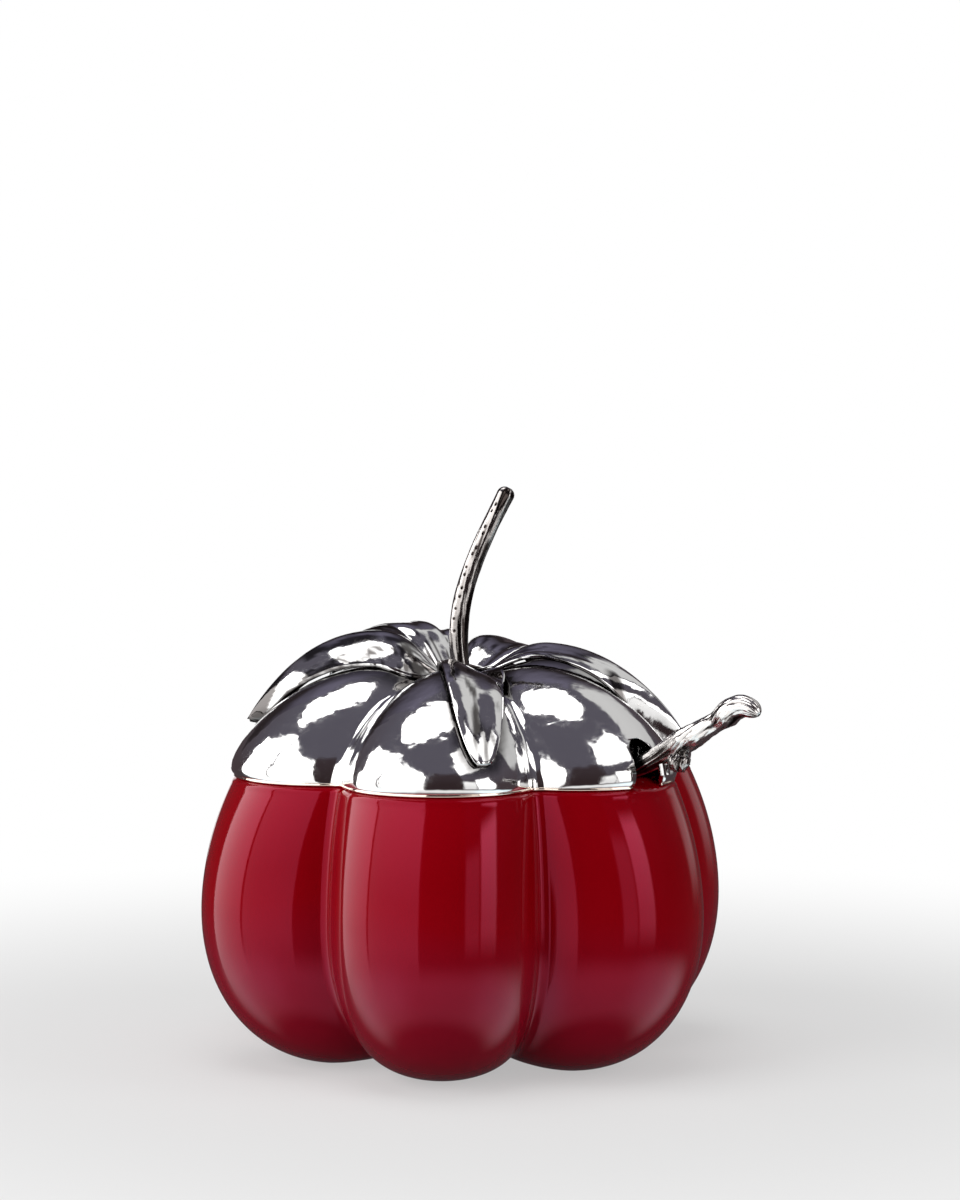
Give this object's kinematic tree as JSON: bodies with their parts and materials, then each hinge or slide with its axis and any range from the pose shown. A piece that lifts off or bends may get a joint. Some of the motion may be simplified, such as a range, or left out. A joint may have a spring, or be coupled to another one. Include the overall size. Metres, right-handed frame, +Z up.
{
  "type": "jam pot",
  "caption": "Ribbed gourd-shaped jam pot in glossy red, with a domed metal lid, leaves, a twig stem and a twig-handled spoon.",
  "frame": {"origin": "middle of the ground disc under the pot, on the pot's axis, at table level", "axes": "+Z up along the pot's axis, -Y towards the front, +X to the right"},
  "size_m": [0.1189, 0.1184, 0.1263],
  "materials": {
    "red_glaze": "high gloss",
    "silver_plate": "mirror polished, lightly planished",
    "darkened_silver": "bark texture with darkened furrows"
  },
  "bodies": {
    "pot": {"pot": "red_glaze"},
    "spoon": {"spoon_handle": "darkened_silver", "spoon_peg": "silver_plate", "spoon_shank": "silver_plate", "spoon_bowl": "silver_plate"},
    "lid": {"lid_dome": "silver_plate", "lid_edge_bead": "silver_plate", "lid_collar": "silver_plate", "leaf_front": "silver_plate", "leaf_right": "silver_plate", "leaf_back_right": "silver_plate", "leaf_back_left": "silver_plate", "leaf_left": "silver_plate", "stem": "darkened_silver", "stem_washer": "silver_plate", "stem_nut": "silver_plate"}
  },
  "joints": [
    {"name": "spoon_lift", "type": "slide", "parent": "pot", "child": "spoon", "axis": [0, 0, 1], "range_m": [0, 0.12]},
    {"name": "lid_lift", "type": "slide", "parent": "spoon", "child": "lid", "axis": [0, 0, 1], "range_m": [0, 0.1]}
  ]
}
